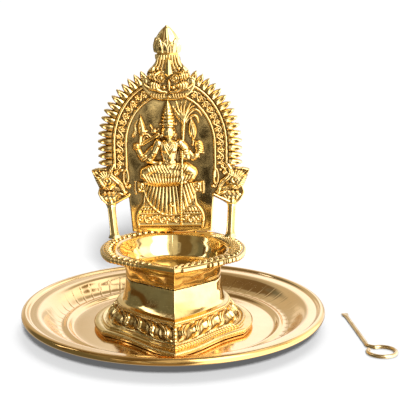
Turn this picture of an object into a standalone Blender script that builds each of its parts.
"""Brass table lamp: a leaf-shaped bowl on a hollow foot, an arched back plate, a tray and a wick pusher.

Metres, +Z up, front is -Y. The origin is the centre of the tray's underside, on the table.
"""

import math

import bmesh
import bpy
from mathutils import Matrix, Vector

MM = 0.001
GAP = 0.3 * MM  # clearance between neighbouring pieces
SIDES = ((-1, "left"), (1, "right"))  # seen from the front

# Tray, a spun sheet plate
TRAY_RADIUS = 89.0 * MM
TRAY_BEAD_RADIUS = 2.2 * MM
TRAY_BEAD_HEIGHT = 10.3 * MM
TRAY_FLOOR_TOP = 1.4 * MM
TRAY_STEPS = 56

# Foot and bowl share a leaf outline: an arc behind and two flanks that meet in front
SHOULDER_ANGLE = math.radians(62)
FLANK_POINTS = 8
ARC_POINTS = 12
FOOT_BOTTOM = TRAY_FLOOR_TOP + GAP
SEAM_HEIGHT = 31.7 * MM
WEB_THICKNESS = 2.6 * MM
RIM_TOP = 48.1 * MM
RIM_UNDERSIDE = 42.0 * MM  # below the rim's lowest point over every rivet
BOWL_FLOOR = 34.4 * MM

# Stud, washer and nut that hold the bowl to the foot
STUD_RADIUS = 3.0 * MM
STUD_BOTTOM = 19.5 * MM
STUD_TOP = 32.8 * MM
STUD_HOLE_TOP = 33.0 * MM
BOSS_RADIUS = 7.0 * MM
BOSS_BOTTOM = 29.6 * MM
WASHER_RADIUS = 12.0 * MM
WASHER_THICKNESS = 1.6 * MM
NUT_ACROSS_CORNERS = 11.5 * MM
NUT_HEIGHT = 5.0 * MM
NUT_POINTS = 24  # round the nut, four to a flat

# Back plate, standing on the rim
PLATE_FRONT = 34.2 * MM
PLATE_THICKNESS = 3.2 * MM
PLATE_MIDDLE = PLATE_FRONT + PLATE_THICKNESS / 2
PLATE_BOTTOM = RIM_TOP + GAP
ARCH_CENTRE = 102.0 * MM
FLAME_BASE = (35.5 * MM, 41.2 * MM)
FLAME_TIP = (43.2 * MM, 47.6 * MM)
ARCH_RIBS = (  # name, half width and height of the arch, angle that it turns through
    ("outer_rib", (33.5 * MM, 39.3 * MM), 1.35),
    ("inner_rib", (26.6 * MM, 30.8 * MM), 1.28),
)
RIB_RADIUS = 0.9 * MM
RIB_FOOT = 77.5 * MM
FLAME_COUNT = 15
FLAME_LOWEST = 89.1 * MM
FLAME_TOP_ANGLE = math.radians(70.4)
LAMP_TOP = 173.0 * MM
EGG_ROOT = 1.6 * MM  # how far a relief form reaches into the plate
FINIAL_SIDES = 16
FINIAL_FLATTENING = 0.62  # depth over width
PLATE_LEAN = 0.016  # the plate stands a hair off plumb: sideways travel towards -X per height

# Struts from the side brackets forward to the rim
STRUT_FOOT = Vector((33.4 * MM, 20.2 * MM, PLATE_BOTTOM))
STRUT_HEAD = Vector((36.0 * MM, PLATE_FRONT + 0.4 * MM, 68.4 * MM))
STRUT_WIDTH = 5.4 * MM
STRUT_DEPTH = 3.6 * MM
STRUT_PAD_HEIGHT = 3.0 * MM

# Rivets up through the rim
RIVET_HEAD_TOP = 44.5 * MM
SLAB_RIVET = (14.0 * MM, PLATE_MIDDLE)
SLAB_RIVET_RADIUS = 0.9 * MM
STRUT_RIVET = (STRUT_FOOT.x, STRUT_FOOT.y)
STRUT_RIVET_RADIUS = 1.1 * MM
SLAB_RIVET_REACH = 4.2 * MM
STRUT_RIVET_REACH = 1.9 * MM
RIVET_CLEARANCE = 0.15 * MM
RIVET_HEAD_RATIO = 1.9
RIVET_HEAD_HEIGHT = 1.5 * MM
RIVET_SIDES = 16

RIVET_KINDS = (
    ("slab", SLAB_RIVET, SLAB_RIVET_RADIUS, SLAB_RIVET_REACH),
    ("strut", STRUT_RIVET, STRUT_RIVET_RADIUS, STRUT_RIVET_REACH),
)

# Wick pusher, a bent wire lying on the table
WIRE_RADIUS = 1.1 * MM
RING_CENTRE = Vector((114.8 * MM, -52.0 * MM))
RING_RADIUS = 7.8 * MM
ROD_START = Vector((108.4 * MM, -42.4 * MM))
ROD_END = Vector((103.6 * MM, 13.6 * MM))
TIP_LENGTH = 7.0 * MM
TIP_HALF_WIDTH = 2.1 * MM
TIP_HALF_HEIGHT = 0.45 * MM
WIRE_SIDES = 10
RING_FIRST_ANGLE = math.radians(-208)
RING_LAST_ANGLE = math.radians(112)
RING_STEPS = 22
RING_CORNER = Vector((-5.6 * MM, 7.3 * MM))  # from the ring's centre to the bend


def clear_scene():
    for old in list(bpy.data.objects):
        bpy.data.objects.remove(old, do_unlink=True)


def new_collection(name):
    collection = bpy.data.collections.new(name)
    bpy.context.scene.collection.children.link(collection)
    return collection


def metal(name, colour, roughness):
    material = bpy.data.materials.new(name)
    material.use_nodes = True
    shader = material.node_tree.nodes["Principled BSDF"]
    shader.inputs["Base Color"].default_value = (*colour, 1.0)
    shader.inputs["Metallic"].default_value = 1.0
    shader.inputs["Roughness"].default_value = roughness
    return material


def add_object(name, mesh, collection, material=None):
    thing = bpy.data.objects.new(name, mesh)
    collection.objects.link(thing)
    if material is not None:
        mesh.materials.append(material)
    mesh.shade_smooth()
    mesh.set_sharp_from_angle(angle=math.radians(35))
    return thing


def mesh_from_bmesh(name, work):
    bmesh.ops.recalc_face_normals(work, faces=work.faces)
    mesh = bpy.data.meshes.new(name)
    work.to_mesh(mesh)
    work.free()
    return mesh


def turned(name, profile, steps, collection, material, place=(0, 0, 0)):
    """A turned piece: (radius, height) points from top to bottom on the outer side, spun about Z."""
    mesh = bpy.data.meshes.new(name)
    count = len(profile)
    on_axis = profile[0][0] == 0 and profile[-1][0] == 0
    edges = [(i, i + 1) for i in range(count - 1)]
    if not on_axis:
        edges.append((count - 1, 0))
    mesh.from_pydata([(r, 0, z) for r, z in profile], edges, [])
    thing = add_object(name, mesh, collection, material)
    thing.location = place
    screw = thing.modifiers.new("Spin", "SCREW")
    screw.steps = steps
    screw.render_steps = steps
    screw.use_merge_vertices = True
    screw.merge_threshold = 0.00001
    return thing


def loft(name, rings, ring_shaped):
    """Skin through rings of equal point counts: closed on itself, or capped at both ends."""
    work = bmesh.new()
    rows = [[work.verts.new(p) for p in ring] for ring in rings]
    count = len(rings[0])
    last = len(rows) if ring_shaped else len(rows) - 1
    for r in range(last):
        here = rows[r]
        there = rows[(r + 1) % len(rows)]
        for i in range(count):
            j = (i + 1) % count
            work.faces.new((here[i], here[j], there[j], there[i]))
    if not ring_shaped:
        work.faces.new(rows[0])
        work.faces.new(rows[-1])
    return mesh_from_bmesh(name, work)


def leaf_ring(height, side, tip, bulge=0.0, ogee=0.0):
    """A leaf outline at one height: an arc of radius side, and flanks out to a point at -Y.

    bulge pushes the flanks out, and ogee pushes them out near the tip and in near the shoulder.
    """
    shoulder = Vector((side * math.sin(SHOULDER_ANGLE), -side * math.cos(SHOULDER_ANGLE)))
    point = Vector((0, -tip))
    outward = Vector((point - shoulder)).orthogonal().normalized()
    if outward.y > 0:
        outward.negate()
    right = []
    for i in range(FLANK_POINTS):
        t = i / FLANK_POINTS
        push = bulge * math.sin(math.pi * t) + ogee * math.sin(2 * math.pi * t)
        right.append(point.lerp(shoulder, t) + outward * push)
    for i in range(ARC_POINTS):
        angle = SHOULDER_ANGLE + (math.pi - SHOULDER_ANGLE) * i / ARC_POINTS
        right.append(Vector((side * math.sin(angle), -side * math.cos(angle))))
    left = [Vector((-p.x, p.y)) for p in reversed(right[1:])]
    outline = right + [Vector((0, side))] + left
    return [Vector((p.x, p.y, height)) for p in outline]


def round_ring(height, radius):
    """A circle whose points face those of a leaf ring."""
    model = leaf_ring(height, 1.0, 1.2)
    points = []
    for p in model:
        flat = Vector((p.x, p.y)).normalized() * radius
        points.append(Vector((flat.x, flat.y, height)))
    return points


def leaf_rings(stations):
    """Rings from (height, side, tip, bulge, ogee) rows in millimetres."""
    return [leaf_ring(*(value * MM for value in row)) for row in stations]


def lean(mesh):
    """Shear a mesh of the back plate sideways, so that its foot stays level on the rim."""
    for vert in mesh.vertices:
        vert.co.x -= PLATE_LEAN * (vert.co.z - PLATE_BOTTOM)
    return mesh


def add_boolean(target, other, operation, scrap):
    cut = target.modifiers.new(other.name, "BOOLEAN")
    cut.operation = operation
    cut.solver = "EXACT"
    cut.object = other
    if other.name not in scrap.objects:
        for owner in list(other.users_collection):
            owner.objects.unlink(other)
        scrap.objects.link(other)
    other.hide_render = True
    other.display_type = "WIRE"


def cylinder_mesh(name, radius, low, high, sides, place=(0, 0)):
    work = bmesh.new()
    middle = Matrix.Translation((place[0], place[1], (low + high) / 2))
    bmesh.ops.create_cone(
        work,
        cap_ends=True,
        segments=sides,
        radius1=radius,
        radius2=radius,
        depth=high - low,
        matrix=middle,
    )
    return mesh_from_bmesh(name, work)


def build_tray(parts, brass):
    bead_middle = TRAY_RADIUS - TRAY_BEAD_RADIUS
    bead = []
    for step in range(7):
        angle = math.radians(115 - 42 * step)
        radius = bead_middle + TRAY_BEAD_RADIUS * math.cos(angle)
        bead.append((radius, TRAY_BEAD_HEIGHT + TRAY_BEAD_RADIUS * math.sin(angle)))
    floor = TRAY_FLOOR_TOP / MM
    top = [(0, floor), (59.6, floor), (61.0, 2.6), (62.5, 3.4), (64.0, 3.2), (65.6, 2.7), (68.0, 3.1)]
    top += [(70.5, 4.5), (73.0, 6.6), (75.2, 8.9), (77.2, 10.2), (80.0, 10.8)]
    under = [(84.0, 9.7), (80.0, 9.4), (77.8, 8.8), (75.9, 7.5), (73.9, 5.2), (71.4, 3.1)]
    under += [(68.4, 1.8), (65.6, 1.4), (62.5, 1.6), (60.2, 0.2), (59.0, 0.0), (0, 0)]
    profile = [(r * MM, z * MM) for r, z in top]
    profile += bead
    profile += [(r * MM, z * MM) for r, z in under]
    return turned("tray", profile, TRAY_STEPS, parts, brass)


def build_foot(parts, brass):
    """Hollow casting, open below, with a holed web on top for the stud."""
    outside = [
        (FOOT_BOTTOM / MM, 45.4, 58.9, 0, 1.2),
        (3.0, 45.4, 59.4, 0, 1.2),
        (3.1, 46.5, 60.8, 0, 1.2),
        (4.5, 46.5, 60.8, 0, 1.2),
        (5.1, 45.6, 59.8, 0, 1.2),
        (5.2, 42.6, 56.4, 0, 1.2),
        (6.4, 42.0, 55.2, 0, 1.2),
        (6.8, 40.6, 53.6, 0, 1.2),
        (6.9, 38.8, 51.4, 0.2, 1.2),
        (9.5, 37.2, 49.2, 0.6, 1.0),
        (12.5, 34.8, 46.2, 1.2, 0.5),
        (14.8, 32.2, 43.4, 1.6, 0),
        (15.8, 32.7, 43.8, 1.7, 0),
        (16.8, 32.3, 43.4, 1.7, 0),
        (17.5, 30.4, 41.2, 1.4, 0),
        (20.5, 29.3, 38.2, 1.1, 0),
        (25.5, 28.2, 34.6, 0.8, 0),
        (SEAM_HEIGHT / MM - 0.3, 27.7, 31.9, 0.4, 0),
    ]
    web_under = SEAM_HEIGHT / MM - 0.3 - WEB_THICKNESS / MM
    inside = [
        (web_under, 24.6, 28.2, 0.4, 0),
        (20.0, 26.2, 34.4, 0.9, 0),
        (15.5, 29.0, 39.2, 1.2, 0),
        (7.5, 36.0, 47.6, 0.4, 1.2),
        (4.0, 41.6, 55.0, 0, 1.2),
        (FOOT_BOTTOM / MM, 42.6, 56.4, 0, 1.2),
    ]
    hole = BOSS_RADIUS + GAP
    rings = leaf_rings(outside)
    rings.append(round_ring(SEAM_HEIGHT - GAP, hole))
    rings.append(round_ring(web_under * MM, hole))
    rings += leaf_rings(inside)
    return add_object("foot", loft("foot", rings, True), parts, brass)


def build_bowl(parts, scrap, brass):
    """Bowl with its rim flange, a locating boss below and blind and through holes for the fastenings."""
    stations = [
        (SEAM_HEIGHT / MM, 27.7, 31.9, 0.4, 0),
        (35.5, 27.9, 32.8, 0.5, 0),
        (39.0, 28.7, 34.2, 0.6, 0),
        (42.0, 30.2, 36.0, 0.8, 0),
        (44.0, 33.6, 39.0, 1.0, 0),
        (44.8, 36.6, 41.4, 1.2, 0),
        (45.0, 40.6, 44.4, 1.4, 0),
        (45.8, 41.8, 45.4, 1.6, 0),
        (47.3, 42.0, 45.6, 1.6, 0),
        (RIM_TOP / MM, 41.2, 44.9, 1.6, 0),
        (RIM_TOP / MM, 31.6, 38.4, 1.2, 0),
        (47.4, 30.7, 37.6, 1.2, 0),
        (43.0, 27.9, 34.0, 0.9, 0),
        (38.0, 25.8, 30.6, 0.6, 0),
        (35.4, 24.0, 28.0, 0.5, 0),
        (34.5, 21.0, 24.4, 0.4, 0),
        (BOWL_FLOOR / MM, 14.0, 16.4, 0.2, 0),
    ]
    rings = leaf_rings(stations)
    bowl = add_object("oil_bowl", loft("oil_bowl", rings, False), parts, brass)
    boss = cylinder_mesh("bowl_boss", BOSS_RADIUS, BOSS_BOTTOM, SEAM_HEIGHT + 1.5 * MM, 24)
    add_boolean(bowl, add_object("bowl_boss", boss, scrap), "UNION", scrap)
    blind = cylinder_mesh(
        "stud_hole", STUD_RADIUS + RIVET_CLEARANCE, BOSS_BOTTOM - 2 * MM, STUD_HOLE_TOP, 20
    )
    add_boolean(bowl, add_object("stud_hole", blind, scrap), "DIFFERENCE", scrap)
    for side, word in SIDES:
        for kind, (x, y), radius, _reach in RIVET_KINDS:
            hole = cylinder_mesh(
                f"{kind}_hole_{word}",
                radius + RIVET_CLEARANCE,
                RIM_UNDERSIDE,
                RIM_TOP + 3 * MM,
                RIVET_SIDES,
                (side * x, y),
            )
            add_boolean(bowl, add_object(f"{kind}_hole_{word}", hole, scrap), "DIFFERENCE", scrap)
    return bowl


def build_fastenings(parts, steel_yellow):
    web_under = SEAM_HEIGHT - GAP - WEB_THICKNESS
    washer_top = web_under - GAP
    washer_bottom = washer_top - WASHER_THICKNESS
    nut_top = washer_bottom - GAP
    nut_bottom = nut_top - NUT_HEIGHT
    hole = STUD_RADIUS + RIVET_CLEARANCE
    stud = cylinder_mesh("bowl_stud", STUD_RADIUS, STUD_BOTTOM, STUD_TOP, 20)
    add_object("bowl_stud", stud, parts, steel_yellow)
    washer_profile = [
        (hole, washer_top),
        (WASHER_RADIUS, washer_top),
        (WASHER_RADIUS, washer_bottom),
        (hole, washer_bottom),
    ]
    turned("bowl_washer", washer_profile, 32, parts, steel_yellow)
    half = NUT_ACROSS_CORNERS / 2
    rings = []
    for radius, height, hexagonal in (
        (half, nut_bottom, True),
        (half, nut_top, True),
        (hole, nut_top, False),
        (hole, nut_bottom, False),
    ):
        ring = []
        for i in range(NUT_POINTS):
            angle = math.tau * i / NUT_POINTS
            reach = radius
            if hexagonal:
                off_flat = (angle % (math.tau / 6)) - math.tau / 12
                reach = radius * math.cos(math.tau / 12) / math.cos(off_flat)
            ring.append(Vector((reach * math.cos(angle), reach * math.sin(angle), height)))
        rings.append(ring)
    add_object("bowl_nut", loft("bowl_nut", rings, True), parts, steel_yellow)


def build_rivets(parts, brass):
    for side, word in SIDES:
        for kind, (x, y), radius, reach in RIVET_KINDS:
            head = radius * RIVET_HEAD_RATIO
            profile = [
                (0, PLATE_BOTTOM + reach),
                (radius, PLATE_BOTTOM + reach),
                (radius, RIVET_HEAD_TOP),
                (head, RIVET_HEAD_TOP),
                (head * 0.8, RIVET_HEAD_TOP - 0.6 * RIVET_HEAD_HEIGHT),
                (head * 0.4, RIVET_HEAD_TOP - 0.93 * RIVET_HEAD_HEIGHT),
                (0, RIVET_HEAD_TOP - RIVET_HEAD_HEIGHT),
            ]
            turned(f"{kind}_rivet_{word}", profile, RIVET_SIDES, parts, brass, (side * x, y, 0))


def arch_point(semi_axes, angle):
    """A point (x, z) of an arch, angle counted up from the springing line."""
    return (semi_axes[0] * math.cos(angle), ARCH_CENTRE + semi_axes[1] * math.sin(angle))


def flame_stations():
    """(base point, tip point) along one side, from the lowest flame to the one beside the lion face."""
    straight = ARCH_CENTRE - FLAME_LOWEST
    rows = []
    for i in range(FLAME_COUNT * 2 + 1):
        share = i / (FLAME_COUNT * 2)
        travel = share * (straight + FLAME_BASE[1] * FLAME_TOP_ANGLE) - straight
        if travel < 0:
            rows.append(((FLAME_BASE[0], ARCH_CENTRE + travel), (FLAME_TIP[0], ARCH_CENTRE + travel)))
        else:
            angle = travel / FLAME_BASE[1]
            rows.append((arch_point(FLAME_BASE, angle), arch_point(FLAME_TIP, angle)))
    return rows


def plate_outline():
    """Right half of the plate's outline, bottom to top, as (x, z)."""
    right = [(24.1 * MM, PLATE_BOTTOM), (25.8 * MM, 69.8 * MM), (33.0 * MM, 65.8 * MM)]
    right += [(35.6 * MM, 64.6 * MM), (38.4 * MM, 65.0 * MM), (42.6 * MM, 68.8 * MM)]
    right += [(44.4 * MM, 72.8 * MM), (43.2 * MM, 76.0 * MM), (45.0 * MM, 79.6 * MM)]
    right += [(47.4 * MM, 86.4 * MM), (44.0 * MM, 87.0 * MM), (38.5 * MM, 87.4 * MM)]
    for i, (base, tip) in enumerate(flame_stations()):
        right.append(tip if i % 2 else base)
    right += [(12.6 * MM, 145.0 * MM), (11.2 * MM, 148.4 * MM), (8.4 * MM, 151.4 * MM)]
    right += [(7.2 * MM, 156.2 * MM), (7.9 * MM, 161.5 * MM), (6.4 * MM, 166.4 * MM)]
    right += [(2.4 * MM, 171.2 * MM), (0.6 * MM, LAMP_TOP)]
    return right


def upright_sheet(name, outline, thickness, front, scrap):
    """A flat outline of (x, z) points, filled and thickened, its front face at y = front."""
    curve = bpy.data.curves.new(name, "CURVE")
    curve.dimensions = "2D"
    curve.fill_mode = "BOTH"
    curve.extrude = thickness / 2
    spline = curve.splines.new("POLY")
    spline.points.add(len(outline) - 1)
    for spot, (x, z) in zip(spline.points, outline):
        spot.co = (x, z, 0, 1)
    spline.use_cyclic_u = True
    guide = bpy.data.objects.new(name + "_curve", curve)
    scrap.objects.link(guide)
    guide.rotation_euler = (math.pi / 2, 0, 0)
    guide.location = (0, front + thickness / 2, 0)
    return mesh_of_curve(name, guide)


def mesh_of_curve(name, guide):
    """The curve as a welded mesh in world space; the curve is removed."""
    bpy.context.view_layer.update()
    graph = bpy.context.evaluated_depsgraph_get()
    mesh = bpy.data.meshes.new_from_object(guide.evaluated_get(graph))
    work = bmesh.new()
    work.from_mesh(mesh)
    bmesh.ops.transform(work, matrix=guide.matrix_world, verts=work.verts)
    bmesh.ops.remove_doubles(work, verts=work.verts, dist=0.000005)
    bpy.data.objects.remove(guide, do_unlink=True)
    return mesh_from_bmesh(name, work)


def rib_mesh(name, semi_axes, top_angle, side, scrap):
    """One raised rib of the border: straight up from its foot, then round the arch."""
    curve = bpy.data.curves.new(name, "CURVE")
    curve.dimensions = "3D"
    curve.bevel_depth = RIB_RADIUS
    curve.bevel_resolution = 0
    curve.use_fill_caps = True
    path = [(semi_axes[0], RIB_FOOT)]
    steps = 9
    for i in range(steps + 1):
        path.append(arch_point(semi_axes, top_angle * i / steps))
    spline = curve.splines.new("POLY")
    spline.points.add(len(path) - 1)
    for spot, (x, z) in zip(spline.points, path):
        spot.co = (side * x, PLATE_FRONT - 0.4 * MM, z, 1)
    guide = bpy.data.objects.new(name + "_curve", curve)
    scrap.objects.link(guide)
    return mesh_of_curve(name, guide)


def egg_mesh(name, centre, half_sizes, segments=12, rings=8):
    """An egg sunk into the plate: its back half is pressed in, to stay within the plate."""
    work = bmesh.new()
    bmesh.ops.create_uvsphere(work, u_segments=segments, v_segments=rings, radius=1.0)
    for vert in work.verts:
        if vert.co.y > 0:
            vert.co.y *= min(1.0, EGG_ROOT / half_sizes[1])
    shape = Matrix.Translation(centre) @ Matrix.Diagonal((*half_sizes, 1.0))
    bmesh.ops.transform(work, matrix=shape, verts=work.verts)
    return mesh_from_bmesh(name, work)


def block_loft(name, sections):
    """A block through rectangles given as (centre, half width in X, half depth in Y)."""
    rings = []
    for centre, half_x, half_y in sections:
        ring = []
        for x, y in ((-1, -1), (1, -1), (1, 1), (-1, 1)):
            ring.append(Vector(centre) + Vector((x * half_x, y * half_y, 0)))
        rings.append(ring)
    return loft(name, rings, False)


def strut_mesh(name, side):
    """A strut that leans from the bracket forward to the rim, level at both ends."""
    foot = Vector((side * STRUT_FOOT.x, STRUT_FOOT.y, STRUT_FOOT.z))
    head = Vector((side * STRUT_HEAD.x, STRUT_HEAD.y, STRUT_HEAD.z))
    pad = foot + Vector((0, 0, STRUT_PAD_HEIGHT))
    half_x = STRUT_WIDTH / 2
    half_y = STRUT_DEPTH / 2
    return block_loft(
        name, [(foot, half_x, half_y), (pad, half_x, half_y), (head, half_x * 0.96, half_y)]
    )


def relief_meshes():
    """The raised work on the plate's front, each a simple closed form sunk into the plate."""
    face = PLATE_FRONT
    forms = []

    def egg(name, x, z, half_x, half_z, rise):
        centre = (x * MM, face + 0.5 * MM, z * MM)
        half = (half_x * MM, (rise + 0.5) * MM, half_z * MM)
        forms.append((name, egg_mesh(name, centre, half)))

    def block(name, rows, rise):
        sections = []
        for z, half_x in rows:
            sections.append(((0, face + (0.8 - rise / 2) * MM, z * MM), half_x * MM, (rise / 2 + 0.8) * MM))
        forms.append((name, block_loft(name, sections)))

    block("pedestal", [(51.5, 20.8), (60.0, 18.2), (66.0, 14.6), (75.5, 14.0)], 3.4)
    block("pedestal_top", [(74.0, 18.8), (77.0, 18.8)], 3.0)
    egg("lap", 0, 83.0, 17.0, 5.6, 5.2)
    egg("torso", 0, 95.5, 7.4, 9.0, 4.4)
    egg("head", 0, 108.5, 4.2, 5.4, 4.6)
    egg("crown", 0, 117.5, 3.9, 10.0, 3.8)
    egg("left_arms", -14.0, 96.0, 8.6, 6.6, 3.0)
    egg("right_arms", 14.0, 97.0, 6.2, 7.4, 3.0)
    egg("left_bud", -17.0, 112.0, 2.4, 6.4, 2.4)
    egg("right_bud", 13.4, 110.0, 2.4, 6.6, 2.4)
    egg("lion_brow", 0, 143.6, 10.6, 7.2, 4.4)
    egg("lion_jaw", 0, 135.4, 13.0, 5.2, 3.2)
    return forms


def finial_mesh():
    """The lotus bud on top: a turned bud, flattened front to back."""
    rings = []
    for height, radius in (
        (150.5, 6.6), (153.2, 6.9), (155.8, 7.3), (157.4, 7.2), (161.4, 7.9),
        (165.4, 6.9), (168.8, 4.8), (171.0, 2.6), (172.6, 0.9),
    ):
        ring = []
        for i in range(FINIAL_SIDES):
            angle = math.tau * i / FINIAL_SIDES
            x = radius * MM * math.cos(angle)
            y = PLATE_MIDDLE + radius * MM * FINIAL_FLATTENING * math.sin(angle)
            ring.append(Vector((x, y, height * MM)))
        rings.append(ring)
    return loft("finial", rings, False)


def build_back_plate(parts, scrap, brass):
    right = plate_outline()
    outline = right + [(-x, z) for x, z in reversed(right)]
    mesh = upright_sheet("back_plate", outline, PLATE_THICKNESS, PLATE_FRONT, scrap)
    plate = add_object("back_plate", lean(mesh), parts, brass)
    joined = [("finial", finial_mesh())] + relief_meshes()
    for side, word in SIDES:
        joined.append((f"strut_{word}", strut_mesh(f"strut_{word}", side)))
        for rib, semi_axes, turn in ARCH_RIBS:
            name = f"{rib}_{word}"
            joined.append((name, rib_mesh(name, semi_axes, turn, side, scrap)))
        centre = (side * 37.5 * MM, PLATE_FRONT, 78.5 * MM)
        bird = egg_mesh(f"bird_{word}", centre, (6.6 * MM, 2.4 * MM, 7.6 * MM))
        joined.append((f"bird_{word}", bird))
    for name, form in joined:
        add_boolean(plate, add_object(name, lean(form), scrap), "UNION", scrap)
    for side, word in SIDES:
        for kind, (x, y), radius, reach in RIVET_KINDS:
            socket = cylinder_mesh(
                f"{kind}_socket_{word}",
                radius + RIVET_CLEARANCE,
                PLATE_BOTTOM - 1 * MM,
                PLATE_BOTTOM + reach + GAP,
                RIVET_SIDES,
                (side * x, y),
            )
            add_boolean(plate, add_object(f"{kind}_socket_{word}", socket, scrap), "DIFFERENCE", scrap)
    return plate


def pusher_path():
    """(point, half width, half height) along the wire: the ring, the bend, the rod and the flat tip."""
    path = []
    sweep = RING_LAST_ANGLE - RING_FIRST_ANGLE
    for i in range(RING_STEPS + 1):
        angle = RING_FIRST_ANGLE + sweep * i / RING_STEPS
        spot = RING_CENTRE + RING_RADIUS * Vector((math.cos(angle), math.sin(angle)))
        path.append((spot, WIRE_RADIUS, WIRE_RADIUS))
    path.append((RING_CENTRE + RING_CORNER, WIRE_RADIUS, WIRE_RADIUS))
    path.append((ROD_START, WIRE_RADIUS, WIRE_RADIUS))
    reach = (ROD_END - ROD_START).length
    along = (ROD_END - ROD_START).normalized()
    for share in (0.5, 1.0):
        path.append((ROD_START + along * (reach - TIP_LENGTH) * share, WIRE_RADIUS, WIRE_RADIUS))
    path.append((ROD_END - along * TIP_LENGTH * 0.45, TIP_HALF_WIDTH * 0.8, TIP_HALF_HEIGHT * 1.6))
    path.append((ROD_END, TIP_HALF_WIDTH, TIP_HALF_HEIGHT))
    return path


def build_wick_pusher(parts, brass):
    path = pusher_path()
    rings = []
    for i, (spot, half_width, half_height) in enumerate(path):
        before = path[max(i - 1, 0)][0]
        after = path[min(i + 1, len(path) - 1)][0]
        along = (after - before).normalized()
        across = Vector((along.y, -along.x))
        ring = []
        for s in range(WIRE_SIDES):
            angle = math.tau * s / WIRE_SIDES
            flat = spot + across * half_width * math.cos(angle)
            height = WIRE_RADIUS + half_height * math.sin(angle)
            ring.append(Vector((flat.x, flat.y, height)))
        rings.append(ring)
    return add_object("wick_pusher", loft("wick_pusher", rings, False), parts, brass)


def main():
    clear_scene()
    parts = new_collection("table_lamp")
    scrap = new_collection("cutters_and_guides")
    lamp_brass = metal("lamp_brass", (0.83, 0.60, 0.23), 0.16)
    tray_brass = metal("tray_brass", (0.86, 0.66, 0.40), 0.12)
    wire_brass = metal("wire_brass", (0.72, 0.52, 0.27), 0.3)
    build_tray(parts, tray_brass)
    build_foot(parts, lamp_brass)
    build_bowl(parts, scrap, lamp_brass)
    build_back_plate(parts, scrap, lamp_brass)
    build_fastenings(parts, wire_brass)
    build_rivets(parts, lamp_brass)
    build_wick_pusher(parts, wire_brass)


main()
